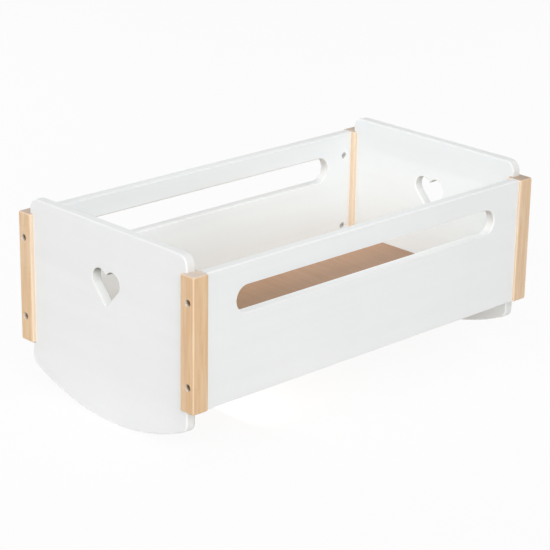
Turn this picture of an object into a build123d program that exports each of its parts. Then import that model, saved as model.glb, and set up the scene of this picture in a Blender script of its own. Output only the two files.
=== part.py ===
from build123d import *
import os

# Wooden doll cradle: two rocker end panels, two slotted side panels, four corner posts,
# a base board held in grooves, and eight bolts that pull into eight barrel nuts.
# Millimetres. X runs along the cradle, Y across it, Z up.
# The origin is on the floor, midway between the lowest lines of the two rockers.

# Sheet and timber
panel_thickness = 12.0
base_thickness = 4.0
post_section = 21.0
post_height = 150.0

# Inside of the cradle
inner_length = 492.0
inner_width = 260.0

# Posts: how far they stand out past the side panels, and the groove that holds an end panel
post_proud = 2.8
post_edge_radius = 2.2
post_groove_depth = 6.2
post_groove_gap = 0.5

# End panels, from the floor up
rocker_drop = 54.0
rocker_radius = 289.0
rocker_corner_radius = 10.0
end_rise = 18.0
end_corner_radius = 13.0
panel_edge_radius = 1.8

# Heart cut-out: two round lobes that run to a tip
heart_lobe_radius = 12.0
heart_lobe_offset = 10.5
heart_lobe_height = 106.0
heart_drop = 26.3
heart_tip_radius = 2.0
heart_notch_radius = 0.8
heart_edge_radius = 1.0

# Handhold slot in each side panel
slot_end_margin = 41.0
slot_height = 30.0
slot_below_top = 25.5

# Base board and the groove that holds it
base_height = 12.7
base_groove_depth = 5.0
base_groove_play = 0.2
base_edge_gap = 0.5

# Bolts, and their stepped holes through the posts
bolt_inset = 29.0
bolt_length = 30.0
bolt_diameter = 5.0
bolt_head_diameter = 8.0
bolt_head_height = 5.0
bolt_head_sink = 6.0
bolt_head_edge = 0.5
bolt_tip_chamfer = 0.7
bolt_clearance = 0.4
bolt_end_room = 2.0
socket_width = 4.0
socket_depth = 2.5

# Barrel nuts, and their blind holes in the side panels
nut_diameter = 8.0
nut_length = 9.0
nut_inset = 11.7
nut_edge = 0.5
nut_clearance = 0.2
nut_thread_clearance = 0.1
nut_floor_gap = 0.3
nut_slot_width = 1.2
nut_slot_depth = 1.2

# One overrun for every cut that has to pass a surface
overrun = 5.0

# How near two edge middles lie when they are the middle of the same edge
same_place = 0.0001

# Places worked out from the sizes above
post_flange = (post_section - panel_thickness) / 2
end_inner_x = inner_length / 2
end_outer_x = end_inner_x + panel_thickness
post_outer_x = end_outer_x + post_flange
post_inner_x = post_outer_x - post_section
side_inner_y = inner_width / 2
side_outer_y = side_inner_y + panel_thickness
side_middle_y = side_inner_y + panel_thickness / 2
post_outer_y = side_outer_y + post_proud
post_inner_y = post_outer_y - post_section
post_foot_z = rocker_drop
post_middle_z = post_foot_z + post_height / 2
post_top_z = post_foot_z + post_height
end_top_z = post_top_z + end_rise
end_panel_half_width = post_inner_y + post_groove_depth - post_groove_gap
base_underside_z = post_foot_z + base_height
base_groove_height = base_thickness + base_groove_play
slot_length = 2 * (post_inner_x - slot_end_margin)
bolt_seat_x = post_outer_x - bolt_head_sink - bolt_head_height
nut_x = post_inner_x - nut_inset
bolt_heights = {"lower": post_foot_z + bolt_inset, "upper": post_top_z - bolt_inset}


def heart():
    """Heart outline: each half is the hull of a lobe and the small circle at the tip."""
    tip = Pos(0, -heart_drop) * Circle(heart_tip_radius)
    lobe = Pos(heart_lobe_offset, 0) * Circle(heart_lobe_radius)
    half = make_hull([*lobe.edges(), *tip.edges()])
    whole = half + mirror(half, Plane.YZ)
    notch = whole.vertices().filter_by(lambda v: abs(v.X) < heart_notch_radius).sort_by(Axis.Y)[-1]
    return fillet(notch, heart_notch_radius)


def end_outline():
    """End panel outline: straight sides, a round-cornered top and the rocker arc below."""
    blank = Rectangle(2 * end_panel_half_width, end_top_z, align=(Align.CENTER, Align.MIN))
    rocker = Pos(0, rocker_radius) * Circle(rocker_radius)
    outline = blank & rocker
    corners = outline.vertices().sort_by(Axis.Y)
    outline = fillet(corners[-2:], end_corner_radius)
    corners = outline.vertices().sort_by(Axis.Y)
    return fillet(corners[:2], rocker_corner_radius)


def round_wire(solid, wire, radius):
    """Round those edges of the solid that make up the wire."""
    middles = [edge.position_at(0.5) for edge in wire.edges()]
    chosen = []
    for edge in solid.edges():
        distances = [(edge.position_at(0.5) - middle).length for middle in middles]
        if min(distances) < same_place:
            chosen.append(edge)
    return fillet(chosen, radius)


def base_groove(length):
    """Cutter for the base board's groove, its floor at the origin and its mouth facing -Y."""
    depth = base_groove_depth + overrun
    align = (Align.CENTER, Align.MIN, Align.MIN)
    return Pos(0, -overrun, 0) * Box(length, depth, base_groove_height, align=align)


def end_panel():
    """The end panel on the +X side, with its heart and its base groove."""
    inner_plane = Plane.YZ.offset(end_inner_x)
    cut_out = Pos(0, post_foot_z + heart_lobe_height) * heart()
    panel = extrude(inner_plane * (end_outline() - cut_out), panel_thickness)
    for face in panel.faces().filter_by(Axis.X):
        panel = round_wire(panel, face.outer_wire(), panel_edge_radius)
    for face in panel.faces().filter_by(Axis.X):
        panel = round_wire(panel, face.inner_wires()[0], heart_edge_radius)
    groove = Rot(0, 0, -90) * base_groove(2 * (end_panel_half_width + overrun))
    return panel - Pos(end_inner_x, 0, base_underside_z) * groove


def side_panel():
    """The side panel on the +Y side, with its slot, base groove, bolt holes and nut holes."""
    outer_plane = Plane((0, side_outer_y, 0), x_dir=(1, 0, 0), z_dir=(0, -1, 0))
    blank = Pos(0, post_middle_z) * Rectangle(2 * post_inner_x, post_height)
    slot_z = post_top_z - slot_below_top - slot_height / 2
    slot = Pos(0, slot_z) * SlotOverall(slot_length, slot_height)
    panel = extrude(outer_plane * (blank - slot), panel_thickness)
    long_edges = panel.edges().filter_by(Axis.X).group_by(Axis.Z)
    panel = fillet(long_edges[0] + long_edges[-1], panel_edge_radius)
    for face in panel.faces().filter_by(Axis.Y):
        panel = round_wire(panel, face.inner_wires()[0], panel_edge_radius)
    groove = base_groove(2 * (post_inner_x + overrun))
    panel -= Pos(0, side_inner_y, base_underside_z) * groove
    return panel - side_panel_holes()


def side_panel_holes():
    """Cutters for the bolt and nut holes at both ends of the +Y side panel."""
    bolt_reach = bolt_seat_x - bolt_length - bolt_end_room
    bolt_hole = Cylinder((bolt_diameter + bolt_clearance) / 2, post_inner_x + overrun - bolt_reach)
    bolt_hole_x = (post_inner_x + overrun + bolt_reach) / 2
    nut_hole_floor = side_middle_y + nut_length / 2 + nut_floor_gap
    nut_hole_mouth = side_inner_y - overrun
    nut_hole = Cylinder((nut_diameter + nut_clearance) / 2, nut_hole_floor - nut_hole_mouth)
    nut_hole_y = (nut_hole_floor + nut_hole_mouth) / 2
    cutters = []
    for z in bolt_heights.values():
        for side in (-1, 1):
            cutters.append(Pos(side * bolt_hole_x, side_middle_y, z) * Rot(0, 90, 0) * bolt_hole)
            cutters.append(Pos(side * nut_x, nut_hole_y, z) * Rot(90, 0, 0) * nut_hole)
    return cutters


def post():
    """The corner post at +X +Y, with its panel groove and its two stepped bolt holes."""
    centre_x = post_outer_x - post_section / 2
    centre_y = post_outer_y - post_section / 2
    block = Pos(centre_x, centre_y, post_middle_z) * Box(post_section, post_section, post_height)
    block = fillet(block.edges(), post_edge_radius)
    groove = Box(panel_thickness, 2 * post_groove_depth, post_height + overrun)
    block -= Pos(centre_x, post_inner_y, post_middle_z) * groove
    bore = Cylinder((bolt_diameter + bolt_clearance) / 2, post_section + overrun)
    recess_length = bolt_head_sink + bolt_head_height + overrun
    recess = Cylinder((bolt_head_diameter + bolt_clearance) / 2, recess_length)
    for z in bolt_heights.values():
        block -= Pos(centre_x, side_middle_y, z) * Rot(0, 90, 0) * bore
        block -= Pos(bolt_seat_x + recess_length / 2, side_middle_y, z) * Rot(0, 90, 0) * recess
    return block


def base_board():
    """The base board, notched at its corners to pass the posts."""
    groove_reach = base_groove_depth - base_edge_gap
    between_posts = Rectangle(
        2 * (post_inner_x - base_edge_gap),
        2 * (side_inner_y + groove_reach),
    )
    between_sides = Rectangle(
        2 * (end_inner_x + groove_reach),
        2 * (post_inner_y - base_edge_gap),
    )
    board = extrude(between_posts + between_sides, base_thickness)
    return Pos(0, 0, base_underside_z) * board


def bolt(z):
    """A socket-head bolt at the +X +Y corner, its head sunk in the post."""
    head = Pos(0, 0, bolt_head_height / 2) * Cylinder(bolt_head_diameter / 2, bolt_head_height)
    head = chamfer(head.edges().sort_by(Axis.Z)[-1], bolt_head_edge)
    shank = Pos(0, 0, -bolt_length / 2) * Cylinder(bolt_diameter / 2, bolt_length)
    shank = chamfer(shank.edges().sort_by(Axis.Z)[0], bolt_tip_chamfer)
    socket = extrude(RegularPolygon(socket_width / 2, 6, major_radius=False), socket_depth)
    body = head + shank - Pos(0, 0, bolt_head_height - socket_depth) * socket
    return Pos(bolt_seat_x, side_middle_y, z) * Rot(0, 90, 0) * body


def barrel_nut(z):
    """A barrel nut at the +X end of the +Y side panel, its slotted end facing the inside."""
    barrel = Cylinder(nut_diameter / 2, nut_length)
    barrel = chamfer(barrel.edges().filter_by(GeomType.CIRCLE), nut_edge)
    thread = Cylinder((bolt_diameter + nut_thread_clearance) / 2, nut_diameter + overrun)
    driver_slot = Box(nut_diameter + overrun, nut_slot_width, 2 * nut_slot_depth)
    body = barrel - Rot(0, 90, 0) * thread - Pos(0, 0, nut_length / 2) * driver_slot
    return Pos(nut_x, side_middle_y, z) * Rot(90, 0, 0) * body


def place(shape, side_x, side_y):
    """Copy a +X +Y piece to another corner by mirroring it."""
    if side_x < 0:
        shape = mirror(shape, Plane.YZ)
    if side_y < 0:
        shape = mirror(shape, Plane.XZ)
    return shape


def cradle():
    """All pieces of the cradle by name."""
    pieces = {"base_board": base_board()}
    ends = {"left": -1, "right": 1}
    sides = {"front": -1, "back": 1}
    end, side, corner = end_panel(), side_panel(), post()
    for end_name, side_x in ends.items():
        pieces[f"end_panel_{end_name}"] = place(end, side_x, 1)
    for side_name, side_y in sides.items():
        pieces[f"side_panel_{side_name}"] = place(side, 1, side_y)
    for end_name, side_x in ends.items():
        for side_name, side_y in sides.items():
            pieces[f"post_{side_name}_{end_name}"] = place(corner, side_x, side_y)
            for level, z in bolt_heights.items():
                name = f"{side_name}_{end_name}_{level}"
                pieces[f"bolt_{name}"] = place(bolt(z), side_x, side_y)
                pieces[f"barrel_nut_{name}"] = place(barrel_nut(z), side_x, side_y)
    return pieces


os.makedirs("parts", exist_ok=True)
for name, shape in cradle().items():
    export_step(shape, f"parts/{name}.step")
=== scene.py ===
"""Looks for the doll cradle: lacquered panels, beech posts, a brown base board and plated fasteners.

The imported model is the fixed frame. Its panels, posts and base board keep their shapes and get detailed
finishes. The bolts and barrel nuts are modelled here, with knurls, sockets, threads and slots, and stand for
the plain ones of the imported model. All lengths are in metres.
"""

from __future__ import annotations

import logging
import math
from collections.abc import Callable, Iterator, Mapping
from contextlib import contextmanager
from dataclasses import dataclass, field, replace
from enum import Enum
from itertools import product

import bmesh
import bpy
from mathutils import Euler, Matrix, Vector

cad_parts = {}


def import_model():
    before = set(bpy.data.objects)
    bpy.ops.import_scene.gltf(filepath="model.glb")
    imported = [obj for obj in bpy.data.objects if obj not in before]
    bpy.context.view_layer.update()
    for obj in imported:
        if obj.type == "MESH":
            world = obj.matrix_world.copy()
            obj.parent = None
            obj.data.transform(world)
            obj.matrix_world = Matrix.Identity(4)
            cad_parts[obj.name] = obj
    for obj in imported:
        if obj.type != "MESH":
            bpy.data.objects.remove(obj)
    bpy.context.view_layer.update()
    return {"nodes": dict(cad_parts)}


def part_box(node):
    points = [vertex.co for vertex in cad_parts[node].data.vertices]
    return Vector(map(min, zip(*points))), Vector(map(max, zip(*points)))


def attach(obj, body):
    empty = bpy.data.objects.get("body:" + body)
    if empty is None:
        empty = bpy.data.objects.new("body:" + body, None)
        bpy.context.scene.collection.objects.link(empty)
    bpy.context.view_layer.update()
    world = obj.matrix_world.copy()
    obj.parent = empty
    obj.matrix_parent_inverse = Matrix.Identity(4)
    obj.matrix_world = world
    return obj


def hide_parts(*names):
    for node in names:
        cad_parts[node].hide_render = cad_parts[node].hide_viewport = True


log = logging.getLogger("doll_cradle")

Triple = tuple[float, float, float]
Colour = Triple
Span = tuple[float, float]
Piece = bpy.types.Object
Socket = bpy.types.NodeSocket
Nodes = dict[str, Piece]

MM = 0.001
BODY = "root"
UNIT: Span = (0.0, 1.0)
FLIPPED: Span = (1.0, 0.0)
ORIGIN: Triple = (0.0, 0.0, 0.0)
WHITE = (1.0, 1.0, 1.0, 1.0)
WAVE_PERIOD = 0.314  # How far apart the rings of a wave texture of scale 1 are.
SMOOTH_ANGLE = math.radians(35)  # Flatter edges than this are shaded smooth.
STRAIGHT_UP = 0.99  # A face whose normal has this much of Z looks straight up.


class End(Enum):
    """The two ends of the cradle, with the side of X that each is on."""

    LEFT = -1
    RIGHT = 1


class Side(Enum):
    """The two long sides of the cradle, with the side of Y that each is on."""

    FRONT = -1
    BACK = 1


class Level(Enum):
    """The two heights at which each corner is bolted."""

    LOWER = "lower"
    UPPER = "upper"


class Axis(Enum):
    """The axes of the shared frame, by their place in a vector."""

    X = 0
    Y = 1
    Z = 2


# Materials


@dataclass
class Recipe:
    """The node tree of a material or of the surround while it is put together.

    Attributes:
        owner: The material or the surround that the nodes are for.
    """

    owner: bpy.types.Material | bpy.types.World

    def __post_init__(self) -> None:
        """Start with an empty node tree."""
        self.owner.use_nodes = True
        self.owner.node_tree.nodes.clear()

    @classmethod
    def of_material(cls, name: str) -> Recipe:
        """Start a new material."""
        return cls(bpy.data.materials.new(name))

    def add(self, kind: str, inputs: Mapping[int | str, object], **settings: object) -> bpy.types.Node:
        """Add a node, set its options, and fill or join its inputs.

        Args:
            kind: The node's type.
            inputs: A value or another node's output for each input, by name or number.
            settings: The node's options.

        Returns:
            The new node.
        """
        tree = self.owner.node_tree
        node = tree.nodes.new(kind)
        for key, setting in settings.items():
            setattr(node, key, setting)
        for key, value in inputs.items():
            if isinstance(value, Socket):
                tree.links.new(value, node.inputs[key])
            else:
                node.inputs[key].default_value = value
        return node

    def coordinates(self, stretch: Triple = (1.0, 1.0, 1.0), shift: Triple = ORIGIN) -> Socket:
        """Read the place on the object in metres, stretched and then shifted.

        Args:
            stretch: Factors along X, Y and Z.
            shift: Distances added along X, Y and Z.

        Returns:
            The vector that textures read.
        """
        place = self.add("ShaderNodeTexCoord", {}).outputs["Object"]
        inputs = {"Vector": place, "Location": shift, "Scale": stretch}
        return self.add("ShaderNodeMapping", inputs).outputs["Vector"]

    def normal(self) -> Socket:
        """Read the direction that a place looks in."""
        return self.add("ShaderNodeNewGeometry", {}).outputs["Normal"]

    def part(self, vector: Socket, axis: Axis) -> Socket:
        """Read a vector's part along an axis."""
        return self.add("ShaderNodeSeparateXYZ", {"Vector": vector}).outputs[axis.value]

    def length(self, vector: Socket) -> Socket:
        """Measure a vector."""
        return self.add("ShaderNodeVectorMath", {0: vector}, operation="LENGTH").outputs["Value"]

    def join(self, operation: str, first: object, second: object = 0.0) -> Socket:
        """Join two numbers by the named operation."""
        return self.add("ShaderNodeMath", {0: first, 1: second}, operation=operation).outputs[0]

    def join_vectors(self, operation: str, first: Socket, second: object = ORIGIN) -> Socket:
        """Join two vectors by the named operation."""
        return self.add("ShaderNodeVectorMath", {0: first, 1: second}, operation=operation).outputs[0]

    def between(self, factor: object, first: object, second: object) -> Socket:
        """Mix two colours.

        Args:
            factor: 0 for the first colour and 1 for the second.
            first: A colour or a node's output.
            second: A colour or a node's output.

        Returns:
            The mixed colour.
        """
        first = (*first, 1.0) if isinstance(first, tuple) else first
        second = (*second, 1.0) if isinstance(second, tuple) else second
        return self.add("ShaderNodeMix", {0: factor, 6: first, 7: second}, data_type="RGBA").outputs[2]

    def remap(self, value: Socket, source: Span, target: Span = UNIT) -> Socket:
        """Carry a value smoothly from one range to another, and hold it at the ends.

        Args:
            value: The value.
            source: The range that it is read in.
            target: The range that it is carried to.

        Returns:
            The carried value.
        """
        inputs = {"Value": value, "From Min": source[0], "From Max": source[1]}
        inputs |= {"To Min": target[0], "To Max": target[1]}
        return self.add("ShaderNodeMapRange", inputs, interpolation_type="SMOOTHSTEP").outputs["Result"]

    def pile(self, *layers: tuple[Socket, Span, Span]) -> Socket:
        """Carry several values from one range to another and add them up.

        Args:
            layers: For each value, the range that it is read in and the range that it is carried to.

        Returns:
            The sum.
        """
        total, *others = (self.remap(*layer) for layer in layers)
        for other in others:
            total = self.join("ADD", total, other)
        return total

    def noise(self, vector: Socket, per_metre: float, detail: float = 2.0, rough: float = 0.5) -> Socket:
        """Cloudy noise.

        Args:
            vector: Where the noise is read.
            per_metre: How many blobs fit in a metre.
            detail: How many finer layers lie on top.
            rough: How strong the finer layers are.

        Returns:
            A value from 0 to 1.
        """
        inputs = {"Vector": vector, "Scale": per_metre, "Detail": detail, "Roughness": rough}
        return self.add("ShaderNodeTexNoise", inputs).outputs["Fac"]

    def spots(self, vector: Socket, per_metre: float, size: float) -> Socket:
        """Small separate spots, one in some of the cells.

        Args:
            vector: Where the spots are read.
            per_metre: How many cells fit in a metre.
            size: How far a spot reaches from the middle of its cell, in cells.

        Returns:
            A value of 1 in the middle of a spot, and 0 between the spots.
        """
        cells = self.add("ShaderNodeTexVoronoi", {"Vector": vector, "Scale": per_metre}).outputs
        near = self.remap(cells["Distance"], (0.0, size), FLIPPED)
        chance = self.add("ShaderNodeSeparateColor", {"Color": cells["Color"]}).outputs["Red"]
        return self.join("MULTIPLY", near, self.remap(chance, (0.55, 0.75)))

    def across(self, axis: Axis) -> Socket:
        """Tell the faces that point along an axis, 1, from the others, 0."""
        size = self.join("ABSOLUTE", self.part(self.normal(), axis))
        return self.remap(size, (0.55, 0.95))

    def seen(self) -> Socket:
        """Tell what the camera sees, straight or in a mirror or glass, from other light.

        Returns:
            1 for what the camera sees and 0 for other light.
        """
        path = self.add("ShaderNodeLightPath", {}).outputs
        first = self.join("MAXIMUM", path["Is Camera Ray"], path["Is Glossy Ray"])
        return self.join("MAXIMUM", first, path["Is Transmission Ray"])

    def relief(self, layers: Mapping[Socket, float]) -> Socket:
        """Raise the surface by several layers of height.

        Args:
            layers: For each height from 0 to 1, how far it raises the surface, in metres.

        Returns:
            The normal that the shader reads.
        """
        below: dict[str, Socket] = {}
        for height, distance in layers.items():
            inputs = {"Height": height, "Distance": distance, "Strength": 1.0, **below}
            below = {"Normal": self.add("ShaderNodeBump", inputs).outputs["Normal"]}
        return below["Normal"]

    def surface(self, inputs: Mapping[str, object]) -> bpy.types.Material:
        """Close a material with the surface shader.

        Args:
            inputs: A value or a node's output for each input of the shader.

        Returns:
            The finished material.
        """
        shader = self.add("ShaderNodeBsdfPrincipled", inputs)
        self.add("ShaderNodeOutputMaterial", {"Surface": shader.outputs["BSDF"]})
        return self.owner


@dataclass(frozen=True)
class WhiteLacquer:
    """Satin white lacquer, sprayed on a smooth board. Its sawn edges are a little rougher, and their colour
    is painted shade: darker and warmer, against the cool lamp light that falls on them.

    Attributes:
        name: The material's name.
        faces: The axis that the board's broad faces point along.
        grain: The axis that the board's fibres run along.
        cutout_arris_shading_colour: The colour painted on the inner arrises below the cut-outs' top: painted
            shade where it is darker than the lacquer, painted light where it is lighter.
        ceiling_shade_colour: The painted shade on the cut-outs' walls where they look down.
        ceiling_shade_span: The upward parts of a wall's normal between which the painted shade fades out.
        colour: The lacquer on the broad outer faces.
        inner_cool_offset_colour: The lacquer on the broad faces that look inwards, painted cooler against the
            warm light that the brown board throws on them.
        edge_shade_colour: The lacquer on the sawn edges, painted darker and warmer against the cool light
            from the lamps.
        arris_highlight_colour: The painted highlight on the outer arrises of the left and the front panel,
            lighter than the lacquer.
        inner_arris_shade_colour: The painted shade on the other arrises of the inner faces.
        sill_light_colour: The painted light on the sills of the cut-outs.
        sill_light_share: How far the sills go towards it.
        sill_span: The upward parts of a normal between which a sill begins.
        cutout_span: How high above the floor the cut-outs start and end.
        specular: How strongly the lacquer mirrors.
        peel_height: How high the spray's fine unevenness stands.
        fibre_height: How high the fibres stand on the sawn edges.
    """

    name: str
    faces: Axis
    grain: Axis
    cutout_arris_shading_colour: Colour
    ceiling_shade_colour: Colour
    ceiling_shade_span: Span
    colour: Colour = (0.856, 0.868, 0.860)
    inner_cool_offset_colour: Colour = (0.840, 0.873, 0.882)
    edge_shade_colour: Colour = (0.842, 0.842, 0.822)
    arris_highlight_colour: Colour = (0.925, 0.920, 0.905)
    inner_arris_shade_colour: Colour = (0.80, 0.80, 0.79)
    sill_light_colour: Colour = (0.94, 0.945, 0.935)
    sill_light_share: float = 0.0
    sill_span: Span = (0.9, 0.99)
    cutout_span: Span = (60.0 * MM, 190.0 * MM)
    specular: float = 0.5
    peel_height: float = 0.008 * MM
    fibre_height: float = 0.02 * MM

    def material(self) -> bpy.types.Material:
        """Make the lacquer.

        Returns:
            The material.
        """
        recipe = Recipe.of_material(self.name)
        place = recipe.coordinates()
        stretch = [1.0, 1.0, 1.0]
        stretch[self.grain.value] = 0.04
        fibre_place = recipe.coordinates(stretch=tuple(stretch))
        edge = recipe.remap(recipe.across(self.faces), UNIT, FLIPPED)

        peel = recipe.noise(place, 620.0, rough=0.45)
        fibres = recipe.noise(fibre_place, 2600.0, detail=3.0, rough=0.6)
        edge_fibres = recipe.join("MULTIPLY", fibres, edge)
        nibs = recipe.spots(place, 95.0, 0.045)
        patches = recipe.noise(place, 45.0, detail=3.0)
        layers = {peel: self.peel_height, edge_fibres: self.fibre_height, nibs: self.peel_height}
        return recipe.surface(
            {
                "Base Color": self.coat(recipe, edge, recipe.noise(fibre_place, 60.0)),
                "Roughness": recipe.pile((patches, (0.3, 0.7), (0.36, 0.44)), (edge, UNIT, (0.0, 0.1))),
                "Specular IOR Level": self.specular,
                "Normal": recipe.relief(layers),
            }
        )

    def coat(self, recipe: Recipe, edge: Socket, passes: Socket) -> Socket:
        """Lay the lacquer's colours, with painted light and shade, on the faces, the walls, the arrises and
        the sills.

        Args:
            recipe: The material that the nodes are added to.
            edge: Where the sawn edges are.
            passes: The faint bands that the spray gun left.

        Returns:
            The colour.
        """
        clouds = recipe.noise(recipe.coordinates(), 7.0, detail=3.0)
        tone = recipe.remap(recipe.join("ADD", clouds, passes), (0.7, 1.3))
        outer, inner = (self.toned(recipe, tone, colour) for colour in (self.colour, self.inner_cool_offset_colour))
        facing, outwards = self.facing(recipe)
        # The inner faces are painted cooler, against the warm light from the board.
        face_colour = recipe.between(recipe.remap(outwards, (-0.95, -0.55), FLIPPED), outer, inner)
        downward_shade, lit_sill, low = self.walls(recipe)
        # Painted shade on the cut-outs' walls that look down.
        wall_colour = recipe.between(downward_shade, self.edge_shade_colour, self.ceiling_shade_colour)
        colour = recipe.between(edge, face_colour, wall_colour)
        inwards, ahead = (recipe.join("MULTIPLY", value, -1.0) for value in (outwards, facing))
        # Painted highlight: the outer arrises that look towards -X or -Y are made lighter.
        outer_highlight = self.slope(recipe, recipe.join("MINIMUM", outwards, ahead))
        colour = recipe.between(outer_highlight, colour, self.arris_highlight_colour)
        # Painted shade on the arrises of the inner faces, and the cut-outs' own painted light and shade below
        # their top.
        shaded_inner_arris = recipe.between(low, self.inner_arris_shade_colour, self.cutout_arris_shading_colour)
        colour = recipe.between(self.slope(recipe, inwards), colour, shaded_inner_arris)
        # Painted light on the sills of the cut-outs.
        return recipe.between(lit_sill, colour, self.sill_light_colour)

    @staticmethod
    def toned(recipe: Recipe, tone: Socket, colour: Colour) -> Socket:
        """Let a colour drift between a slightly darker and a slightly lighter tone."""
        dark, light = (tuple(min(1.0, part * share) for part in colour) for share in (0.985, 1.008))
        return recipe.between(tone, dark, light)

    @staticmethod
    def slope(recipe: Recipe, tilt: Socket) -> Socket:
        """Tell the rounding, 1, between a sawn edge, where the tilt is 0, and a broad face, where it is 1."""
        rise, fall = recipe.remap(tilt, (0.05, 0.3)), recipe.remap(tilt, (0.88, 0.995), FLIPPED)
        return recipe.join("MULTIPLY", rise, fall)

    def walls(self, recipe: Recipe) -> tuple[Socket, ...]:
        """Tell the walls of the cut-outs that look down, which get painted shade, and their sills, which get
        painted light.

        Args:
            recipe: The material that the nodes are added to.

        Returns:
            How far a place is on such a wall, on a sill and below the cut-outs' top, from 0 to 1.
        """
        height = recipe.part(recipe.coordinates(), Axis.Z)
        upwards = recipe.part(recipe.normal(), Axis.Z)
        bottom, top = self.cutout_span
        high = recipe.remap(height, (bottom, bottom + MM))
        low = recipe.remap(height, (top, top + MM), FLIPPED)
        downwards = recipe.remap(upwards, self.ceiling_shade_span, FLIPPED)
        flat = recipe.remap(upwards, self.sill_span, (0.0, self.sill_light_share))
        return recipe.join("MULTIPLY", high, downwards), recipe.join("MULTIPLY", low, flat), low

    def facing(self, recipe: Recipe) -> tuple[Socket, Socket]:
        """Tell how far a place looks along the axis of the broad faces.

        Args:
            recipe: The material that the nodes are added to.

        Returns:
            How far it looks along the axis, from -1 to 1, and how far it looks away from the cradle's middle:
            1 on the outer broad face, 0 on the sawn edges and -1 on the inner broad face.
        """
        facing = recipe.part(recipe.normal(), self.faces)
        way_out = recipe.join("SIGN", recipe.part(recipe.coordinates(), self.faces))
        return facing, recipe.join("MULTIPLY", way_out, facing)


@dataclass(frozen=True)
class Bore:
    """A round hole in a post, drilled along X after the post was coated.

    Attributes:
        mouth: The middle of its mouth.
        radius: Half its diameter.
        depth: How deep the light reaches into it.
        rim: How wide the border between raw and coated wood is.
    """

    mouth: Vector
    radius: float = 4.2 * MM
    depth: float = 4.5 * MM
    rim: float = 0.05 * MM

    def wall(self, recipe: Recipe) -> Socket:
        """Tell the hole's wall, 1, from all that is outside it, 0."""
        aside = recipe.coordinates((0.0, 1.0, 1.0), (0.0, -self.mouth.y, -self.mouth.z))
        return recipe.remap(recipe.length(aside), (self.radius, self.radius + self.rim), FLIPPED)

    def deep(self, recipe: Recipe) -> Socket:
        """Tell how deep a place is in the hole, 0 near the mouth and 1 from the depth on."""
        along = recipe.coordinates((1.0, 0.0, 0.0), (-self.mouth.x, 0.0, 0.0))
        return recipe.remap(recipe.length(along), (self.depth / 4, self.depth))


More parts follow.
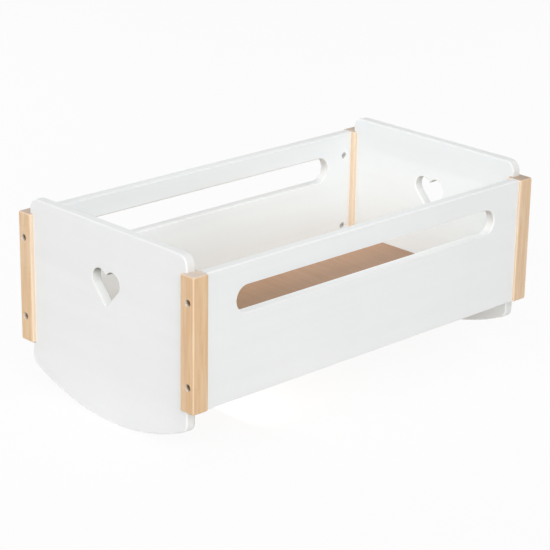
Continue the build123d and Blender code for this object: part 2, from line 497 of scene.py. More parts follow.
@dataclass(frozen=True)
class Beech:
    """Clear-coated beech, with growth rings about its own pith, fine fibres, flecks and open end grain.

    Attributes:
        name: The material's name.
        pith: Where the middle of the tree would be, in X and Y.
        inward: Which way the middle of the cradle is, along X and Y.
        bores: The holes in it that show raw wood.
        colour: The early wood.
        end_colour: The end grain.
        late_colour: The darker late wood of each ring.
        band_share: How much the broad bands lighten and redden the wood.
        drift: How far the grain is moved along the post for each metre that the pith is along X.
        inner_face_light_colour: The painted light on the two faces that look inwards, which are made paler.
        fleck_colour: The short dark flecks.
        fleck_share: How far the flecks go towards their colour.
        ring_width: How far apart the growth rings are.
        wander: How far the rings wander along the grain.
        arris_highlight_colour: The painted highlight on the arrises, paler wood where they face the light.
        arris_highlight_share: How far the arrises go towards their colour.
        raw_and_lit_colour: The uncoated wood at the mouths of the holes, made paler still as painted light.
        hole_shade_colour: The painted shade deep in the holes.
        specular: How strongly the clear coat mirrors.
    """

    name: str
    pith: tuple[float, float]
    inward: tuple[float, float]
    bores: tuple[Bore, ...]
    colour: Colour
    end_colour: Colour
    late_colour: Colour = (0.61, 0.385, 0.215)
    band_share: float = 0.055
    drift: float = 3.0
    inner_face_light_colour: Colour = (0.82, 0.655, 0.485)
    fleck_colour: Colour = (0.43, 0.24, 0.12)
    fleck_share: float = 0.45
    ring_width: float = 2.4 * MM
    wander: float = 5.0 * MM
    arris_highlight_colour: Colour = (0.92, 0.75, 0.57)
    arris_highlight_share: float = 0.55
    raw_and_lit_colour: Colour = (0.95, 0.86, 0.75)
    hole_shade_colour: Colour = (0.36, 0.23, 0.13)
    specular: float = 0.4

    def material(self) -> bpy.types.Material:
        """Make the wood.

        Returns:
            The material.
        """
        recipe = Recipe.of_material(self.name)
        pith_x, pith_y = self.pith
        shift = (-pith_x, -pith_y, pith_x * self.drift)
        straight = recipe.coordinates(shift=shift)
        drawn = recipe.coordinates((1.0, 1.0, 0.09), shift)
        late = self.late_wood(recipe, straight, drawn)
        arris = self.arris(recipe)

        fibres = recipe.noise(recipe.coordinates((1.0, 1.0, 0.025)), 1500.0, detail=3.0, rough=0.6)
        wood = recipe.between(late, self.banded(recipe, drawn), self.late_colour)
        wood = recipe.between(recipe.remap(fibres, (0.5, 0.85), (0.0, 0.35)), wood, self.late_colour)
        # Painted light: the faces that look inwards are made paler.
        wood = recipe.between(self.inner_side(recipe), wood, self.inner_face_light_colour)
        # Painted highlight on the arrises.
        wood = recipe.between(arris, wood, self.arris_highlight_colour)
        flecks = recipe.spots(recipe.coordinates((1.0, 1.0, 0.16)), 900.0, 0.28)
        wood = recipe.between(recipe.join("MULTIPLY", flecks, self.fleck_share), wood, self.fleck_colour)

        end = recipe.across(Axis.Z)
        pores = recipe.noise(straight, 2400.0)
        late_end, pore_end = (tuple(part * share for part in self.end_colour) for share in (0.86, 0.7))
        end_wood = recipe.between(late, self.end_colour, late_end)
        end_wood = recipe.between(recipe.remap(pores, (0.55, 0.8), (0.0, 0.4)), end_wood, pore_end)
        # Painted highlight on the arrises of the end grain too.
        end_wood = recipe.between(arris, end_wood, self.arris_highlight_colour)
        layers = {fibres: 0.02 * MM, late: 0.012 * MM, recipe.join("SUBTRACT", 1.0, flecks): 0.015 * MM}
        return recipe.surface(
            {
                "Base Color": self.drilled(recipe, recipe.between(end, wood, end_wood)),
                "Roughness": recipe.pile((fibres, (0.3, 0.8), (0.42, 0.52)), (end, UNIT, (0.0, 0.15))),
                "Specular IOR Level": self.specular,
                "Normal": recipe.relief(layers),
            }
        )

    def late_wood(self, recipe: Recipe, straight: Socket, drawn: Socket) -> Socket:
        """Tell the dark late wood of each ring from the early wood.

        Args:
            recipe: The material that the nodes are added to.
            straight: Places seen from the pith.
            drawn: The same places, drawn out along the grain.

        Returns:
            How far a place is in the late wood, from 0 to 1.
        """
        inputs = {"Vector": drawn, "Scale": 28.0, "Detail": 2.0}
        push = recipe.add("ShaderNodeTexNoise", inputs).outputs["Color"]
        centred = recipe.join_vectors("SUBTRACT", push, (0.5, 0.5, 0.5))
        sway = recipe.join_vectors("MULTIPLY", centred, (self.wander,) * 3)
        inputs = {
            "Vector": recipe.join_vectors("ADD", straight, sway),
            "Scale": WAVE_PERIOD / self.ring_width,
        }
        settings = {"wave_type": "RINGS", "rings_direction": "Z", "wave_profile": "SAW"}
        rings = recipe.add("ShaderNodeTexWave", inputs, **settings).outputs["Fac"]
        late = recipe.join("MULTIPLY", recipe.remap(rings, (0.25, 0.95)), rings)
        strength = recipe.remap(recipe.noise(drawn, 55.0), (0.3, 0.7), (0.18, 0.6))
        return recipe.join("MULTIPLY", late, strength)

    def drilled(self, recipe: Recipe, wood: Socket) -> Socket:
        """Lay raw wood on the walls of the holes, with painted light near the mouth and painted shade in the
        deep.

        Args:
            recipe: The material that the nodes are added to.
            wood: The colour outside the holes.

        Returns:
            The colour.
        """
        for bore in self.bores:
            bore_wall_colour = recipe.between(bore.deep(recipe), self.raw_and_lit_colour, self.hole_shade_colour)
            wood = recipe.between(bore.wall(recipe), wood, bore_wall_colour)
        return wood

    def banded(self, recipe: Recipe, vector: Socket) -> Socket:
        """The early wood in broad soft bands along the grain, some paler and some redder.

        Args:
            recipe: The material that the nodes are added to.
            vector: Where the bands are read.

        Returns:
            The colour.
        """
        share = self.band_share
        red, green, blue = self.colour
        pale = (red * (1.0 + share), green * (1.0 + 1.5 * share), blue * (1.0 + 2.2 * share))
        ruddy = (red * (1.0 - 0.6 * share), green * (1.0 - 1.5 * share), blue * (1.0 - 2.5 * share))
        return recipe.between(recipe.remap(recipe.noise(vector, 210.0), (0.34, 0.66)), ruddy, pale)

    def inner_side(self, recipe: Recipe) -> Socket:
        """Tell the two faces that look towards the middle of the cradle from the others.

        Args:
            recipe: The material that the nodes are added to.

        Returns:
            Nearly 1 on the two faces and 0 on the others.
        """
        normal = recipe.normal()
        along, aside = (
            recipe.join("MULTIPLY", recipe.part(normal, axis), way) for axis, way in zip(Axis, self.inward)
        )
        return recipe.remap(recipe.join("MAXIMUM", along, aside), (0.3, 0.95), (0.0, 0.9))

    def arris(self, recipe: Recipe) -> Socket:
        """Tell the arrises, which look along none of the three axes and get a painted highlight, from the
        faces.

        Args:
            recipe: The material that the nodes are added to.

        Returns:
            The arrises' share on an arris and 0 on a face.
        """
        size = recipe.join_vectors("ABSOLUTE", recipe.normal())
        x, y, z = (recipe.part(size, axis) for axis in Axis)
        largest = recipe.join("MAXIMUM", recipe.join("MAXIMUM", x, y), z)
        return recipe.remap(largest, (0.72, 0.99), (self.arris_highlight_share, 0.0))


@dataclass(frozen=True)
class BrownBoard:
    """A thin brown board, nearly plain, with a faint grain across the cradle, a satin face and painted shade
    and light.

    Attributes:
        name: The material's name.
        left_shade_colour: The ground colour towards the left end, darkened as painted shade.
        right_light_colour: The ground colour towards the right end, lightened as painted light.
        length_span: Where the one turns into the other, along X.
        front_shade_tint: The painted shade towards the front.
        back_light_tint: The painted light towards the back.
        width_span: Where the one turns into the other, along Y.
        dark_share: How much darker the streaks and patches are.
        specular: How strongly the face mirrors.
    """

    name: str = "brown_base_board"
    left_shade_colour: Colour = (0.336, 0.180, 0.084)
    right_light_colour: Colour = (0.394, 0.235, 0.146)
    length_span: Span = (-0.16, 0.16)
    front_shade_tint: Colour = (0.955, 0.95, 0.95)
    back_light_tint: Colour = (1.15, 1.11, 1.08)
    width_span: Span = (0.025, 0.071)
    dark_share: float = 0.82
    specular: float = 0.45

    def material(self) -> bpy.types.Material:
        """Make the board's finish.

        Returns:
            The material.
        """
        recipe = Recipe.of_material(self.name)
        place = recipe.coordinates()
        drawn = recipe.coordinates((1.0, 0.06, 1.0))
        patches = recipe.noise(recipe.coordinates((1.0, 0.6, 1.0)), 16.0, detail=3.0)
        streaks = recipe.noise(drawn, 170.0, detail=4.0, rough=0.6)
        fibres = recipe.noise(drawn, 1700.0, detail=3.0, rough=0.6)
        chips = recipe.noise(place, 1300.0)

        # Painted shade and light: darker to the front and left, lighter to the back and right.
        along = recipe.remap(recipe.part(place, Axis.X), self.length_span)
        ground = recipe.between(along, self.left_shade_colour, self.right_light_colour)
        across = recipe.remap(recipe.part(place, Axis.Y), self.width_span)
        tint = recipe.between(across, self.front_shade_tint, self.back_light_tint)
        ground = recipe.join_vectors("MULTIPLY", ground, tint)
        dark = recipe.join_vectors("MULTIPLY", ground, (self.dark_share,) * 3)
        shade = recipe.pile(
            (patches, (0.35, 0.7), (0.0, 0.25)),
            (streaks, (0.45, 0.8), (0.0, 0.3)),
            (fibres, (0.5, 0.85), (0.0, 0.45)),
        )
        return recipe.surface(
            {
                "Base Color": recipe.between(shade, ground, dark),
                "Roughness": recipe.remap(streaks, (0.3, 0.7), (0.46, 0.56)),
                "Specular IOR Level": self.specular,
                "Normal": recipe.relief({fibres: 0.02 * MM, chips: 0.012 * MM}),
            }
        )


@dataclass(frozen=True)
class ZincSteel:
    """Turned steel with a bright zinc coat, a little patchy and brushed by the cutter.

    Attributes:
        name: The material's name.
        colour: The bright coat.
        dull_colour: The duller patches.
    """

    name: str = "zinc_coated_steel"
    colour: Colour = (0.62, 0.62, 0.63)
    dull_colour: Colour = (0.47, 0.47, 0.49)

    def material(self) -> bpy.types.Material:
        """Make the plating.

        Returns:
            The material.
        """
        recipe = Recipe.of_material(self.name)
        place = recipe.coordinates()
        patches = recipe.noise(place, 520.0, detail=3.0)
        fine = recipe.noise(place, 4200.0)
        return recipe.surface(
            {
                "Base Color": recipe.between(
                    recipe.remap(patches, (0.4, 0.7)), self.colour, self.dull_colour
                ),
                "Metallic": 1.0,
                "Roughness": recipe.pile(
                    (patches, (0.3, 0.7), (0.28, 0.4)), (fine, (0.3, 0.7), (0.0, 0.06))
                ),
                "Normal": recipe.relief({fine: 0.004 * MM}),
            }
        )


# Modelling by hand


class Workbench:
    """Short calls for modelling one mesh by hand: choose by place, then shape."""

    @staticmethod
    def clear() -> None:
        """Leave nothing selected."""
        bpy.ops.object.select_all(action="DESELECT")

    @staticmethod
    def take(piece: Piece) -> None:
        """Select one piece alone and make it the active one.

        Args:
            piece: The piece.
        """
        Workbench.clear()
        piece.select_set(True)
        bpy.context.view_layer.objects.active = piece

    @staticmethod
    @contextmanager
    def shaping(piece: Piece) -> Iterator[None]:
        """Hold one piece in edit mode, with nothing chosen at the start.

        Args:
            piece: The piece to shape.

        Yields:
            Nothing.
        """
        Workbench.take(piece)
        bpy.ops.object.mode_set(mode="EDIT")
        bpy.ops.mesh.select_all(action="DESELECT")
        yield
        bpy.ops.object.mode_set(mode="OBJECT")

    @staticmethod
    def choose(kind: str, read: Callable[..., tuple[Vector, ...]], test: Callable[..., bool]) -> None:
        """Choose the parts of a mesh that pass a test, and no others.

        Args:
            kind: What is chosen: FACE, EDGE or VERT.
            read: Reads from a part what the test is given.
            test: Says whether a part is chosen.
        """
        bpy.ops.mesh.select_all(action="DESELECT")
        bpy.ops.mesh.select_mode(type=kind)
        data = bpy.context.edit_object.data
        mesh = bmesh.from_edit_mesh(data)
        for part in {"FACE": mesh.faces, "EDGE": mesh.edges, "VERT": mesh.verts}[kind]:
            part.select_set(test(*read(part)))
        if kind == "VERT":
            mesh.select_flush(True)
        bmesh.update_edit_mesh(data)

    @staticmethod
    def choose_faces(test: Callable[[Vector, Vector], bool]) -> None:
        """Choose the faces whose middle and normal pass a test."""
        Workbench.choose("FACE", lambda face: (face.calc_center_median(), face.normal), test)

    @staticmethod
    def choose_edges(test: Callable[[Vector, Vector], bool]) -> None:
        """Choose the edges whose two ends pass a test."""
        Workbench.choose("EDGE", lambda edge: tuple(point.co for point in edge.verts), test)

    @staticmethod
    def choose_points(test: Callable[[Vector], bool]) -> None:
        """Choose the points that pass a test."""
        Workbench.choose("VERT", lambda point: (point.co,), test)

    @staticmethod
    def widen(factor: float) -> None:
        """Scale what is chosen about the Z axis."""
        bpy.ops.transform.resize(value=(factor, factor, 1.0), center_override=ORIGIN)

    @staticmethod
    def draw_out(rise: float, factor: float = 1.0) -> None:
        """Extrude what is chosen along Z, then scale it about the Z axis.

        Args:
            rise: How far up it goes.
            factor: How much wider it becomes.
        """
        bpy.ops.mesh.extrude_region_move(TRANSFORM_OT_translate={"value": (0.0, 0.0, rise)})
        Workbench.widen(factor)

    @staticmethod
    def cut_away(piece: Piece, cutter: Piece) -> None:
        """Take the cutter's shape out of the piece, and throw the cutter away.

        Args:
            piece: The piece that is cut.
            cutter: The shape that is taken out of it.
        """
        Workbench.take(piece)
        cut = piece.modifiers.new("cut", "BOOLEAN")
        cut.operation = "DIFFERENCE"
        cut.solver = "EXACT"
        cut.object = cutter
        bpy.ops.object.modifier_apply(modifier=cut.name)
        bpy.data.objects.remove(cutter)

    @staticmethod
    def smooth(piece: Piece) -> None:
        """Point the faces outwards and shade smoothly across the flatter edges.

        Args:
            piece: The piece.
        """
        with Workbench.shaping(piece):
            bpy.ops.mesh.select_all(action="SELECT")
            bpy.ops.mesh.normals_make_consistent(inside=False)
        Workbench.take(piece)
        bpy.ops.object.shade_smooth_by_angle(angle=SMOOTH_ANGLE)

    @staticmethod
    def copy_to(pattern: Piece, name: str, place: Matrix) -> Piece:
        """Copy a finished pattern with its own mesh and put its place into that mesh.

        Args:
            pattern: The pattern.
            name: The copy's name.
            place: Where the copy goes.

        Returns:
            The copy.
        """
        piece = pattern.copy()
        piece.data = pattern.data.copy()
        piece.name = piece.data.name = name
        bpy.context.scene.collection.objects.link(piece)
        piece.matrix_world = place
        Workbench.take(piece)
        bpy.ops.object.transform_apply(location=True, rotation=True, scale=True)
        return piece


def radius_of(point: Vector) -> float:
    """How far a point is from the Z axis."""
    return math.hypot(point.x, point.y)


def middle_of(node: str) -> Vector:
    """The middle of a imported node's box."""
    low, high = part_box(node)
    return (low + high) / 2


def outer_face(node: str, end: End) -> float:
    """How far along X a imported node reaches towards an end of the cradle."""
    low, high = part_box(node)
    return high.x if end is End.RIGHT else low.x


def dress(node: Piece, material: bpy.types.Material) -> None:
    """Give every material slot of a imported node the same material."""
    for slot in node.material_slots:
        slot.material = material
    log.info("dressed %s with %s", node.name, material.name)


# Boards and posts


@dataclass
class EndPanels:
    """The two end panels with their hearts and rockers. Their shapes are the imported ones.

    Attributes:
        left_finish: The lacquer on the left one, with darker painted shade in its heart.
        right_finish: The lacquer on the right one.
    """

    left_finish: WhiteLacquer = WhiteLacquer(
        "white_lacquer_left_end",
        Axis.X,
        Axis.Y,
        # Painted shade: a dark line on the heart's inner arris and on its walls that look down.
        cutout_arris_shading_colour=(0.42, 0.42, 0.40),
        ceiling_shade_colour=(0.25, 0.235, 0.21),
        ceiling_shade_span=(-0.97, -0.02),
        arris_highlight_colour=(0.880, 0.880, 0.868),
    )
    right_finish: WhiteLacquer = WhiteLacquer(
        "white_lacquer_right_end",
        Axis.X,
        Axis.Y,
        # Painted light on the heart's inner arris, and painted shade on its walls that look down.
        cutout_arris_shading_colour=(0.91, 0.91, 0.90),
        ceiling_shade_colour=(0.48, 0.46, 0.41),
        ceiling_shade_span=(-0.97, -0.45),
    )

    def build(self, nodes: Nodes) -> None:
        """Dress the panels' nodes."""
        for end, finish in ((End.LEFT, self.left_finish), (End.RIGHT, self.right_finish)):
            dress(nodes[f"end_panel_{end.name.lower()}"], finish.material())


@dataclass
class SidePanels:
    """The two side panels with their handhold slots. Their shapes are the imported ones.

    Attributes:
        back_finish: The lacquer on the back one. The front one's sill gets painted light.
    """

    back_finish: WhiteLacquer = WhiteLacquer(
        "white_lacquer_back_side",
        Axis.Y,
        Axis.X,
        # Painted shade on the inner arrises and on the slot's walls that look down.
        cutout_arris_shading_colour=(0.77, 0.77, 0.76),
        ceiling_shade_colour=(0.62, 0.63, 0.59),
        ceiling_shade_span=(-0.97, -0.7),
        inner_arris_shade_colour=(0.77, 0.77, 0.76),
    )

    def build(self, nodes: Nodes) -> None:
        """Dress the panels' nodes."""
        front_finish = replace(self.back_finish, name="white_lacquer_front_side", sill_light_share=1.0)
        for side, finish in ((Side.FRONT, front_finish), (Side.BACK, self.back_finish)):
            dress(nodes[f"side_panel_{side.name.lower()}"], finish.material())


@dataclass
class BaseBoard:
    """The board that the doll lies on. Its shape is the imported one.

    Attributes:
        finish: The board's finish.
    """

    finish: BrownBoard = BrownBoard()

    def build(self, nodes: Nodes) -> None:
        """Dress the board's node."""
        dress(nodes["base_board"], self.finish.material())


@dataclass
class CornerPost:
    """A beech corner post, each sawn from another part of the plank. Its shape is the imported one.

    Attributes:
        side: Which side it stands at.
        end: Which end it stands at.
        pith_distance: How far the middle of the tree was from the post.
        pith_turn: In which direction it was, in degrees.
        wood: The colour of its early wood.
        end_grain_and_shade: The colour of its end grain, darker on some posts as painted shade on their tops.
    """

    side: Side
    end: End
    pith_distance: float
    pith_turn: float
    wood: Colour
    end_grain_and_shade: Colour

    def build(self, nodes: Nodes) -> None:
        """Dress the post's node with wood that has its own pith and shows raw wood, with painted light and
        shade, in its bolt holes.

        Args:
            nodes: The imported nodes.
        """
        corner = f"{self.side.name.lower()}_{self.end.name.lower()}"
        name = f"post_{corner}"
        outer_x = outer_face(name, self.end)
        bolts = (middle_of(f"bolt_{corner}_{level.value}") for level in Level)
        bores = tuple(Bore(Vector((outer_x, bolt.y, bolt.z))) for bolt in bolts)
        centre, angle = middle_of(name), math.radians(self.pith_turn)
        pith = (
            centre.x + self.pith_distance * math.cos(angle),
            centre.y + self.pith_distance * math.sin(angle),
        )
        inward = (-self.end.value, -self.side.value)
        wood = Beech(f"beech_{name}", pith, inward, bores, self.wood, self.end_grain_and_shade)
        dress(nodes[name], wood.material())


# Fasteners


@dataclass
class SocketBolt:
    """A socket-head bolt: knurled head, hexagon socket, plain neck and a real thread.

    The pattern stands on the Z axis, the seat of its head at zero and its tip downwards.

    Attributes:
        head_radius: Half the head's diameter.
        head_height: From the seat to the top of the head.
        head_edge: The rounding of the head's top edge.
        knurl_teeth: How many teeth run round the head.
        knurl_depth: How deep the gaps between them are, as a share of the radius.
        socket_width: Across the flats of the hexagon.
        socket_depth: How deep the hexagon goes.
        length: From the seat to the tip.
        shank_radius: Half the thread's outer diameter.
        neck_length: How much of the shank has no thread.
        pitch: From one turn of the thread to the next.
        root_radius: From the axis to the bottom of the thread.
        tip_chamfer: The chamfer at the tip.
    """

    head_radius: float = 4.0 * MM
    head_height: float = 5.0 * MM
    head_edge: float = 0.5 * MM
    knurl_teeth: int = 48
    knurl_depth: float = 0.035
    socket_width: float = 4.0 * MM
    socket_depth: float = 2.5 * MM
    length: float = 30.0 * MM
    shank_radius: float = 2.48 * MM
    neck_length: float = 8.0 * MM
    pitch: float = 0.8 * MM
    root_radius: float = 2.05 * MM
    tip_chamfer: float = 0.7 * MM

    def pattern(self) -> Piece:
        """Model the bolt once.

        Returns:
            The pattern.
        """
        bolt = self.head()
        self.sink_socket(bolt)
        self.draw_shank(bolt)
        self.knurl(bolt)
        thread = self.thread()
        Workbench.take(bolt)
        thread.select_set(True)
        bpy.ops.object.join()
        Workbench.smooth(bolt)
        return bolt

    def head(self) -> Piece:
        """Turn the head and round its top edge.

        Returns:
            The bolt so far.
        """
        Workbench.clear()
        bpy.ops.mesh.primitive_cylinder_add(
            vertices=2 * self.knurl_teeth,
            radius=self.head_radius,
            depth=self.head_height,
            location=(0.0, 0.0, self.head_height / 2),
        )
        bolt = bpy.context.object
        bolt.name = "socket_bolt_pattern"
        bpy.ops.object.transform_apply(location=True, rotation=True, scale=True)
        top = self.head_height - self.head_edge / 10
        with Workbench.shaping(bolt):
            Workbench.choose_edges(lambda a, b: a.z > top and b.z > top)
            bpy.ops.mesh.bevel(offset=self.head_edge, segments=3, affect="EDGES")
        return bolt

    def sink_socket(self, bolt: Piece) -> None:
        """Sink the hexagon socket into the head.

        Args:
            bolt: The bolt so far.
        """
        land = 0.7 * MM
        top = self.head_height - self.head_edge / 10
        corner = self.socket_width / math.sqrt(3)
        lead_in = 0.15 * MM
        drill_point = 0.6 * MM
        with Workbench.shaping(bolt):
            Workbench.choose_faces(lambda middle, normal: middle.z > top and normal.z > STRAIGHT_UP)
            bpy.ops.mesh.inset(thickness=land)
            bpy.ops.mesh.delete(type="FACE")
            bpy.ops.mesh.primitive_circle_add(
                vertices=6, radius=corner + lead_in, location=(0.0, 0.0, self.head_height)
            )
            reach = self.head_radius - self.head_edge - land + 0.05 * MM
            Workbench.choose_edges(
                lambda a, b: min(a.z, b.z) > top and max(radius_of(a), radius_of(b)) < reach
            )
            bpy.ops.mesh.bridge_edge_loops()
            near_hexagon = corner + 1.5 * lead_in
            Workbench.choose_edges(
                lambda a, b: min(a.z, b.z) > top and max(radius_of(a), radius_of(b)) < near_hexagon
            )
            Workbench.draw_out(-lead_in, corner / (corner + lead_in))
            Workbench.draw_out(lead_in - self.socket_depth)
            Workbench.draw_out(-drill_point)
            bpy.ops.mesh.merge(type="CENTER")

    def draw_shank(self, bolt: Piece) -> None:
        """Draw the neck, the thread's core and the tip out of the head's underside.

        Args:
            bolt: The bolt so far.
        """
        relief = 0.4 * MM
        core = self.length - self.neck_length - relief - self.tip_chamfer
        tip_factor = (self.root_radius - self.tip_chamfer) / self.root_radius
        with Workbench.shaping(bolt):
            Workbench.choose_faces(
                lambda middle, normal: abs(middle.z) < relief / 10 and normal.z < -STRAIGHT_UP
            )
            bpy.ops.mesh.inset(thickness=self.head_radius - self.shank_radius)
            Workbench.draw_out(-self.neck_length)
            Workbench.draw_out(-relief, self.root_radius / self.shank_radius)
            Workbench.draw_out(-core)
            Workbench.draw_out(-self.tip_chamfer, tip_factor)

    def knurl(self, bolt: Piece) -> None:
        """Press every second line of points on the head's side inwards.

        Args:
            bolt: The bolt so far.
        """
        step = math.pi / self.knurl_teeth
        rim = self.head_radius - 0.02 * MM

        def in_a_gap(point: Vector) -> bool:
            """Whether a point is on the head's side and on a gap between two teeth."""
            index = round(math.atan2(point.y, point.x) / step)
            return radius_of(point) > rim and index % 2 == 0

        with Workbench.shaping(bolt):
            Workbench.choose_points(in_a_gap)
            Workbench.widen(1.0 - self.knurl_depth)

    def thread(self) -> Piece:
        """Wind the thread's ridge round its core.

        Returns:
            The ridge.
        """
        overlap = 0.1 * MM
        height = self.shank_radius - self.root_radius + overlap
        size = height / 1.5  # A triangle is one and a half times its radius high.
        turns = int((self.length - self.neck_length - 2 * self.tip_chamfer) / self.pitch)
        Workbench.clear()
        bpy.ops.mesh.primitive_circle_add(
            vertices=3,
            radius=size,
            location=(self.shank_radius - size, 0.0, self.tip_chamfer - self.length),
            rotation=(math.pi / 2, math.pi / 2, 0.0),
        )
        ridge = bpy.context.object
        bpy.ops.object.transform_apply(location=True, rotation=True, scale=True)
        screw = ridge.modifiers.new("wind", "SCREW")
        screw.axis = "Z"
        screw.angle = 2 * math.pi
        screw.screw_offset = self.pitch
        screw.iterations = turns
        screw.steps = screw.render_steps = 18
        bpy.ops.object.modifier_apply(modifier=screw.name)
        with Workbench.shaping(ridge):
            bpy.ops.mesh.select_all(action="SELECT")
            bpy.ops.mesh.fill_holes(sides=3)
        return ridge


@dataclass
class BarrelNut:
    """A barrel nut: a short turned bar with a cross hole for the bolt and a driver slot in one end.

    The pattern stands on the Z axis about zero, its slotted end upwards and its cross hole along X.

    Attributes:
        radius: Half the bar's diameter.
        length: The bar's length.
        edge: The rounding of its end edges.
        hole_radius: Half the cross hole's diameter.
        slot_width: The driver slot's width.
        slot_depth: The driver slot's depth.
    """

    radius: float = 4.0 * MM
    length: float = 9.0 * MM
    edge: float = 0.5 * MM
    hole_radius: float = 2.55 * MM
    slot_width: float = 1.2 * MM
    slot_depth: float = 1.2 * MM

    def pattern(self) -> Piece:
        """Model the nut once.

        Returns:
            The pattern.
        """
        Workbench.clear()
        bpy.ops.mesh.primitive_cylinder_add(vertices=64, radius=self.radius, depth=self.length)
        nut = bpy.context.object
        nut.name = "barrel_nut_pattern"
        rim = self.length / 2 - self.edge / 10
        with Workbench.shaping(nut):
            Workbench.choose_edges(lambda a, b: min(abs(a.z), abs(b.z)) > rim and a.z * b.z > 0)
            bpy.ops.mesh.bevel(offset=self.edge, segments=3, affect="EDGES")
        Workbench.cut_away(nut, self.bore())
        Workbench.cut_away(nut, self.driver_slot())
        self.soften(nut)
        Workbench.smooth(nut)
        return nut

    def bore(self) -> Piece:
        """Make the cutter for the cross hole, flared at both mouths.

        Returns:
            The cutter.
        """
        flare = 0.5 * MM
        Workbench.clear()
        bpy.ops.mesh.primitive_cylinder_add(
            vertices=48, radius=self.hole_radius, depth=2 * self.radius - 2 * flare
        )
        cutter = bpy.context.object
        mouth = self.radius - flare * 1.1
        with Workbench.shaping(cutter):
            for way in (1, -1):
                Workbench.choose_faces(lambda middle, normal: middle.z * way > mouth)
                Workbench.draw_out(way * 2 * flare, 1 + 2 * flare / self.hole_radius)
            bpy.ops.mesh.select_all(action="SELECT")
            bpy.ops.transform.rotate(value=math.pi / 2, orient_axis="Y", center_override=ORIGIN)
        return cutter

    def driver_slot(self) -> Piece:
        """Make the cutter for the driver slot, with a rounded floor.

        Returns:
            The cutter.
        """
        overrun = 1.0 * MM
        height = self.slot_depth + overrun
        Workbench.clear()
        bpy.ops.mesh.primitive_cube_add(
            size=1.0,
            location=(0.0, 0.0, self.length / 2 - self.slot_depth + height / 2),
            scale=(2 * self.radius + 2 * overrun, self.slot_width, height),
        )
        cutter = bpy.context.object
        bpy.ops.object.transform_apply(location=True, rotation=True, scale=True)
        floor = self.length / 2 - self.slot_depth + overrun / 10
        with Workbench.shaping(cutter):
            Workbench.choose_edges(lambda a, b: max(a.z, b.z) < floor and abs(a.x - b.x) > overrun)
            bpy.ops.mesh.bevel(offset=self.slot_width / 4, segments=2, affect="EDGES")
        return cutter

    def soften(self, nut: Piece) -> None:
        """Break the sharp edges that the cutters left.

        Args:
            nut: The nut so far.
        """
        Workbench.take(nut)
        soft = nut.modifiers.new("soften", "BEVEL")
        soft.width = 0.08 * MM
        soft.segments = 2
        soft.limit_method = "ANGLE"
        soft.angle_limit = math.radians(40)
        bpy.ops.object.modifier_apply(modifier=soft.name)


@dataclass
class Fasteners:
    """The eight bolts and the eight barrel nuts that they pull on.

    Attributes:
        bolt: How a bolt is made.
        nut: How a barrel nut is made.
        finish: The plating on both.
    """

    bolt: SocketBolt = field(default_factory=SocketBolt)
    nut: BarrelNut = field(default_factory=BarrelNut)
    finish: ZincSteel = ZincSteel()

    def build(self) -> None:
        """Model one bolt and one nut, and put a copy of each at every bolted place."""
        plating = self.finish.material()
        bolt, nut = self.bolt.pattern(), self.nut.pattern()
        for pattern in (bolt, nut):
            pattern.data.materials.clear()
            pattern.data.materials.append(plating)
        for side, end, level in product(Side, End, Level):
            corner = f"{side.name.lower()}_{end.name.lower()}_{level.value}"
            self.put_bolt(bolt, corner, end)
            self.put_nut(nut, corner, side)
        for pattern in (bolt, nut):
            bpy.data.objects.remove(pattern)

    def put_bolt(self, pattern: Piece, corner: str, end: End) -> None:
        """Put a bolt at a corner, its head outwards.

        Args:
            pattern: The modelled bolt.
            corner: The corner's name.
            end: The end of the cradle that the head faces.
        """
        seat = middle_of(f"bolt_{corner}")
        seat.x = outer_face(f"bolt_{corner}", end) - end.value * self.bolt.head_height
        turn = Euler((0.0, end.value * math.pi / 2, 0.0)).to_matrix().to_4x4()
        piece = Workbench.copy_to(pattern, f"socket_bolt_{corner}", Matrix.Translation(seat) @ turn)
        self.hand_over(piece, f"bolt_{corner}")

    def put_nut(self, pattern: Piece, corner: str, side: Side) -> None:
        """Put a barrel nut at a corner, its slotted end facing the inside.

        Args:
            pattern: The modelled nut.
            corner: The corner's name.
            side: The side panel that it sits in.
        """
        turn = Euler((side.value * math.pi / 2, 0.0, 0.0)).to_matrix().to_4x4()
        place = Matrix.Translation(middle_of(f"barrel_nut_{corner}")) @ turn
        piece = Workbench.copy_to(pattern, f"slotted_nut_{corner}", place)
        self.hand_over(piece, f"barrel_nut_{corner}")

    def hand_over(self, piece: Piece, node: str) -> None:
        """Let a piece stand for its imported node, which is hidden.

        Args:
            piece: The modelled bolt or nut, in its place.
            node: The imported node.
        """
        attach(piece, BODY)
        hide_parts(node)
        log.info("modelled %s in place of %s", piece.name, node)


# Studio and camera


@dataclass(frozen=True)
class SoftLamp:
    """A flat studio lamp that looks at the cradle and that no picture shows.

    Attributes:
        name: The lamp's name.
        azimuth: Its direction seen from above, in degrees, with 0 at +X and 90 at +Y.
        elevation: Its height above the horizon, in degrees.
        strength: How much it adds to a white face that looks at it, where 1 is white.
        tint: The colour of its light.
        distance: How far it stands from the point that it looks at.
        length: Its length.
        width: Its width.
        target: The point that it looks at.
    """

    name: str
    azimuth: float
    elevation: float
    strength: float
    tint: Colour = (1.0, 1.0, 1.0)
    distance: float = 2.5
    length: float = 1.6
    width: float = 1.6
    target: Triple = (0.0, 0.0, 0.11)

    def build(self) -> None:
        """Put up the lamp."""
        around, above = math.radians(self.azimuth), math.radians(self.elevation)
        direction = Vector(
            (math.cos(above) * math.cos(around), math.cos(above) * math.sin(around), math.sin(above))
        )
        light = bpy.data.lights.new(self.name, "AREA")
        light.shape = "RECTANGLE"
        light.size = self.length
        light.size_y = self.width
        light.color = self.tint
        light.energy = self.strength * math.pi**2 * self.distance**2
        lamp = bpy.data.objects.new(self.name, light)
        bpy.context.scene.collection.objects.link(lamp)
        lamp.location = Vector(self.target) + direction * self.distance
        lamp.rotation_euler = direction.to_track_quat("Z", "Y").to_euler()
        lamp.visible_camera = False
        log.info("put up %s", self.name)


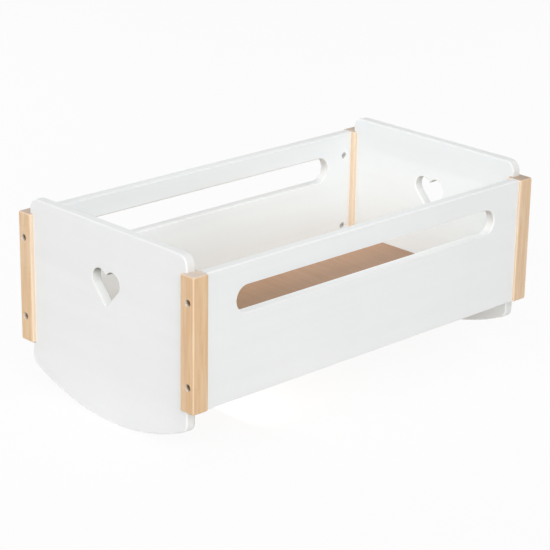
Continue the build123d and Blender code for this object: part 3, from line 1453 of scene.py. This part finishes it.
@dataclass
class Studio:
    """A pale floor, a white surround and soft lamps.

    Attributes:
        floor_size: The floor's side length.
        floor_colour: The floor's own white.
        floor_glow: How much of the floor's look is plain white to the camera and in mirrors.
        lamps: The lamps.
    """

    floor_size: float = 14.0
    floor_colour: Colour = (0.93, 0.93, 0.93)
    floor_glow: float = 0.93
    lamps: tuple[SoftLamp, ...] = (
        SoftLamp("left_lamp", 180.0, 26.0, 0.413, (1.0, 0.98, 0.975), 5.0, 3.2, 3.2),
        SoftLamp("front_left_lamp", 240.0, 35.0, 0.590, (0.974, 0.987, 1.0), 5.0, 3.2, 3.2),
        SoftLamp("front_lamp", 270.0, 10.8, 0.192, (1.0, 0.986, 0.978), 5.0, 3.2, 2.1),
        SoftLamp("right_lamp", 0.0, 20.0, 0.254, (0.99, 0.982, 1.0)),
        SoftLamp("back_lamp", 97.0, 20.0, 0.382, (0.994, 0.991, 1.0)),
        SoftLamp("top_lamp", 0.0, 90.0, 0.368, (0.85, 0.93, 0.98), 0.34, 0.50, 0.26),
        SoftLamp(
            "inner_left_lamp", 0.0, 90.0, 0.72, (0.94, 0.99, 0.99), 0.08, 0.16, 0.10, (-0.15, 0.04, 0.11)
        ),
        SoftLamp("inner_right_lamp", 0.0, 90.0, 0.77, (0.94, 0.99, 0.98), 0.08, 0.20, 0.2, (0.12, 0.0, 0.11)),
        SoftLamp(
            "inner_low_lamp", 270.0, 0.0, 0.37, (0.82, 1.0, 0.99), 0.128, 0.36, 0.07, (0.055, 0.0, 0.11)
        ),
        SoftLamp("under_lamp", 180.0, 0.0, 0.200, (0.985, 1.0, 0.936), 0.40, 0.20, 0.03, (0.25, 0.0, 0.03)),
    )

    def build(self) -> None:
        """Lay the floor, colour the surround and put up the lamps."""
        self.lay_floor()
        self.colour_surround()
        for lamp in self.lamps:
            lamp.build()

    def lay_floor(self) -> None:
        """Lay the floor at the rockers' lowest line."""
        Workbench.clear()
        bpy.ops.mesh.primitive_plane_add(size=self.floor_size)
        floor = bpy.context.object
        floor.name = floor.data.name = "studio_floor"
        recipe = Recipe.of_material("studio_floor_white")
        cloud = recipe.noise(recipe.coordinates(), 3.0)
        dark = tuple(part * 0.99 for part in self.floor_colour)
        matt = recipe.add("ShaderNodeBsdfDiffuse", {"Color": recipe.between(cloud, dark, self.floor_colour)})
        white = recipe.add("ShaderNodeEmission", {"Color": WHITE, "Strength": 1.0})
        share = recipe.join("MULTIPLY", recipe.seen(), self.floor_glow)
        mixed = recipe.add("ShaderNodeMixShader", {0: share, 1: matt.outputs[0], 2: white.outputs[0]})
        recipe.add("ShaderNodeOutputMaterial", {"Surface": mixed.outputs[0]})
        floor.data.materials.append(recipe.owner)

    def colour_surround(self) -> None:
        """Make the surround plain white to the camera and in mirrors. It lights nothing itself."""
        world = bpy.data.worlds.new("studio_surround")
        bpy.context.scene.world = world
        recipe = Recipe(world)
        background = recipe.add("ShaderNodeBackground", {"Color": WHITE, "Strength": recipe.seen()})
        recipe.add("ShaderNodeOutputWorld", {"Surface": background.outputs[0]})


@dataclass(frozen=True)
class PhotoCamera:
    """The camera where the photographer's stood.

    Attributes:
        place: Where it stands.
        right: The direction to the right of its picture.
        up: The direction to the top of its picture.
        lens: The focal length in millimetres.
        sensor: The sensor's width in millimetres.
        reach: How far the camera sees.
    """

    place: Triple = (-1.506459, -1.556163, 0.886913)
    right: Triple = (0.7248599, -0.68872104, 0.01553889)
    up: Triple = (0.22308329, 0.25601034, 0.94058096)
    lens: float = 131.75
    sensor: float = 36.0
    reach: float = 50.0

    def build(self) -> None:
        """Set up the camera and make it the scene's own."""
        data = bpy.data.cameras.new("photo_camera")
        data.sensor_fit = "HORIZONTAL"
        data.sensor_width = self.sensor
        data.lens = self.lens
        data.clip_end = self.reach
        camera = bpy.data.objects.new("photo_camera", data)
        bpy.context.scene.collection.objects.link(camera)
        right, up = Vector(self.right), Vector(self.up)
        turn = Matrix((right, up, right.cross(up))).transposed().to_4x4()
        camera.matrix_world = Matrix.Translation(self.place) @ turn
        bpy.context.scene.camera = camera


def main() -> None:
    """Load the frame and build every sub-assembly, the studio and the camera."""
    logging.basicConfig(level=logging.INFO, format="%(name)s: %(message)s")
    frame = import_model()
    nodes: Nodes = frame["nodes"]
    bpy.context.scene.view_settings.view_transform = "Standard"

    EndPanels().build(nodes)
    SidePanels().build(nodes)
    BaseBoard().build(nodes)
    # The end grain colours are partly painted shade: darker where a post's top lies in shade.
    posts = (
        CornerPost(Side.FRONT, End.LEFT, 62 * MM, 80.0, (0.745, 0.515, 0.306), (0.79, 0.66, 0.555)),
        CornerPost(Side.FRONT, End.RIGHT, 48 * MM, 150.0, (0.775, 0.575, 0.388), (0.51, 0.38, 0.28)),
        CornerPost(Side.BACK, End.LEFT, 70 * MM, 65.0, (0.785, 0.568, 0.356), (0.63, 0.495, 0.40)),
        CornerPost(Side.BACK, End.RIGHT, 55 * MM, 20.0, (0.718, 0.498, 0.301), (0.66, 0.53, 0.43)),
    )
    for post in posts:
        post.build(nodes)
    Fasteners().build()
    Studio().build()
    PhotoCamera().build()


if __name__ == "__main__":
    main()
